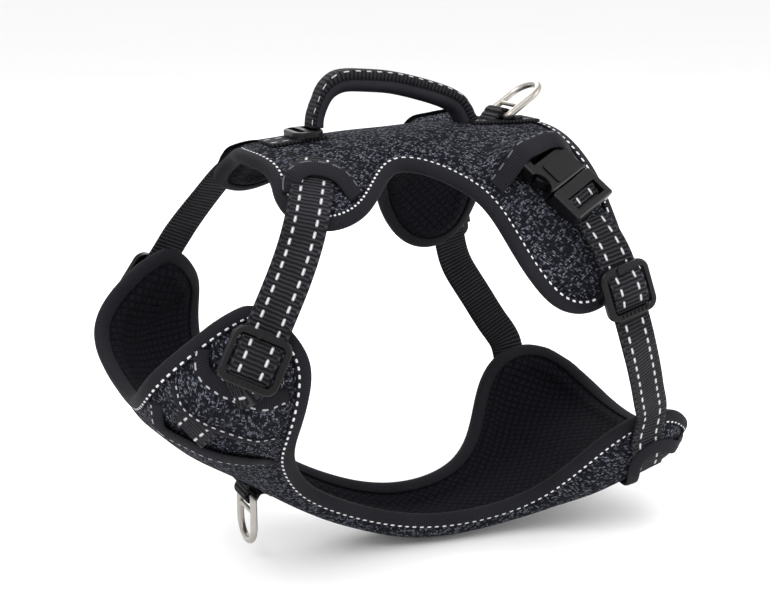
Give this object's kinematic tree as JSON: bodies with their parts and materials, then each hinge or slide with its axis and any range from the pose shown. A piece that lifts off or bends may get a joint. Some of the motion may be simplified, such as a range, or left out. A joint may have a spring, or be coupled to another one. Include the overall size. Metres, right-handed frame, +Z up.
{
  "type": "dog harness",
  "caption": "Padded no pull dog harness with a back and a chest panel, adjustable straps, side release buckles, grab handle and leash rings.",
  "frame": {"origin": "middle of the space for the dog's ribcage, on the harness's plane of symmetry, under the handle", "axes": "+X towards the dog's tail, -X towards its head, -Y its left side, +Z up"},
  "size_m": [0.3155, 0.2064, 0.2594],
  "materials": {
    "knit_shell": "chunky heathered mesh knit, charcoal with pale grey flecks",
    "foam": "hidden soft foam",
    "mesh_lining": "matt black air mesh",
    "binding_tape": "fine ribbed black binding tape with a white reflective running stitch",
    "webbing": "black ribbed nylon webbing with two white reflective stitch lines",
    "handle_lining": "smooth dark grey padded lining",
    "buckle_plastic": "black acetal with a soft gloss",
    "slider_plastic": "black satin acetal",
    "ring_metal": "satin nickel plated casting"
  },
  "bodies": {
    "root": {"back_panel_binding": "binding_tape", "back_panel_foam": "foam", "back_panel_lining": "mesh_lining", "back_panel_shell": "knit_shell", "belly_pocket_left": "knit_shell", "belly_pocket_right": "knit_shell", "buckle_female_left": "buckle_plastic", "buckle_female_right": "buckle_plastic", "buckle_strap_left": "webbing", "buckle_strap_right": "webbing", "chest_cover_left": "knit_shell", "chest_cover_right": "knit_shell", "chest_pocket_left": "knit_shell", "chest_pocket_right": "knit_shell", "front_panel_binding": "binding_tape", "front_panel_foam": "foam", "front_panel_lining": "mesh_lining", "front_panel_shell": "knit_shell", "front_ring_tab": "webbing", "girth_overlay_left": "knit_shell", "girth_overlay_right": "knit_shell", "girth_strap_left": "webbing", "girth_strap_right": "webbing", "rear_ring_tab": "webbing", "shoulder_overlay_left": "knit_shell", "shoulder_overlay_right": "knit_shell", "shoulder_strap_left": "webbing", "shoulder_strap_right": "webbing", "spine_webbing": "webbing"},
    "handle": {"handle_webbing": "webbing", "handle_padding": "handle_lining"},
    "keeper": {"handle_keeper": "slider_plastic"},
    "rear_ring": {"rear_ring": "ring_metal"},
    "front_ring": {"front_ring": "ring_metal"},
    "buckle_male_left": {"buckle_male_left": "buckle_plastic", "buckle_loop_left": "webbing"},
    "front_prong_left": {"front_prong_left": "buckle_plastic"},
    "rear_prong_left": {"rear_prong_left": "buckle_plastic"},
    "shoulder_slider_left": {"shoulder_slider_left": "slider_plastic", "shoulder_slider_loop_left": "webbing"},
    "girth_slider_left": {"girth_slider_left": "slider_plastic", "girth_slider_loop_left": "webbing"},
    "buckle_male_right": {"buckle_male_right": "buckle_plastic", "buckle_loop_right": "webbing"},
    "front_prong_right": {"front_prong_right": "buckle_plastic"},
    "rear_prong_right": {"rear_prong_right": "buckle_plastic"},
    "shoulder_slider_right": {"shoulder_slider_right": "slider_plastic", "shoulder_slider_loop_right": "webbing"},
    "girth_slider_right": {"girth_slider_right": "slider_plastic", "girth_slider_loop_right": "webbing"}
  },
  "joints": [
    {"name": "handle_fold", "type": "hinge", "parent": "root", "child": "handle", "pos_m": [0, 0, 0.0955], "axis": [1, 0, 0], "range_deg": [-42, 42]},
    {"name": "keeper_slide", "type": "slide", "parent": "root", "child": "keeper", "axis": [0.9982, 0, 0.0599], "range_m": [-0.002, 0.002]},
    {"name": "rear_ring_swing", "type": "hinge", "parent": "root", "child": "rear_ring", "pos_m": [0.067, 0, 0.096], "axis": [0, 1, 0], "range_deg": [-80, 18]},
    {"name": "front_ring_swing", "type": "hinge", "parent": "root", "child": "front_ring", "pos_m": [-0.08081, 0, -0.09551], "axis": [0, 1, 0], "range_deg": [-35, 75]},
    {"name": "buckle_left_release", "type": "slide", "parent": "root", "child": "buckle_male_left", "axis": [0.4868, -0.5995, -0.6354], "range_m": [0, 0.019]},
    {"name": "front_prong_left_pinch", "type": "hinge", "parent": "buckle_male_left", "child": "front_prong_left", "pos_m": [0.06051, -0.07559, 0.06417], "axis": [0.0127, -0.7224, 0.6913], "range_deg": [-26.04, 0]},
    {"name": "rear_prong_left_pinch", "type": "hinge", "parent": "buckle_male_left", "child": "rear_prong_left", "pos_m": [0.07658, -0.06925, 0.0705], "axis": [0.0127, -0.7224, 0.6913], "range_deg": [0, 26.04]},
    {"name": "shoulder_slider_left_adjust", "type": "slide", "parent": "root", "child": "shoulder_slider_left", "axis": [0.4998, 0.1999, 0.8427], "range_m": [0, 0.014]},
    {"name": "girth_slider_left_adjust", "type": "slide", "parent": "root", "child": "girth_slider_left", "axis": [0.25, -0.16, -0.9549], "range_m": [-0.008, 0.008]},
    {"name": "buckle_right_release", "type": "slide", "parent": "root", "child": "buckle_male_right", "axis": [0.4868, 0.5995, -0.6354], "range_m": [0, 0.019]},
    {"name": "front_prong_right_pinch", "type": "hinge", "parent": "buckle_male_right", "child": "front_prong_right", "pos_m": [0.06051, 0.07559, 0.06417], "axis": [0.0127, 0.7224, 0.6913], "range_deg": [0, 26.04]},
    {"name": "rear_prong_right_pinch", "type": "hinge", "parent": "buckle_male_right", "child": "rear_prong_right", "pos_m": [0.07658, 0.06925, 0.0705], "axis": [0.0127, 0.7224, 0.6913], "range_deg": [-26.04, 0]},
    {"name": "shoulder_slider_right_adjust", "type": "slide", "parent": "root", "child": "shoulder_slider_right", "axis": [0.4998, -0.1999, 0.8427], "range_m": [0, 0.014]},
    {"name": "girth_slider_right_adjust", "type": "slide", "parent": "root", "child": "girth_slider_right", "axis": [0.25, 0.16, -0.9549], "range_m": [-0.008, 0.008]}
  ],
  "couplings": [
    {"joint": "front_prong_left_pinch", "follows": "buckle_left_release", "rad_per_m": -23.736},
    {"joint": "rear_prong_left_pinch", "follows": "buckle_left_release", "rad_per_m": 23.736},
    {"joint": "front_prong_right_pinch", "follows": "buckle_right_release", "rad_per_m": 23.736},
    {"joint": "rear_prong_right_pinch", "follows": "buckle_right_release", "rad_per_m": -23.736}
  ]
}
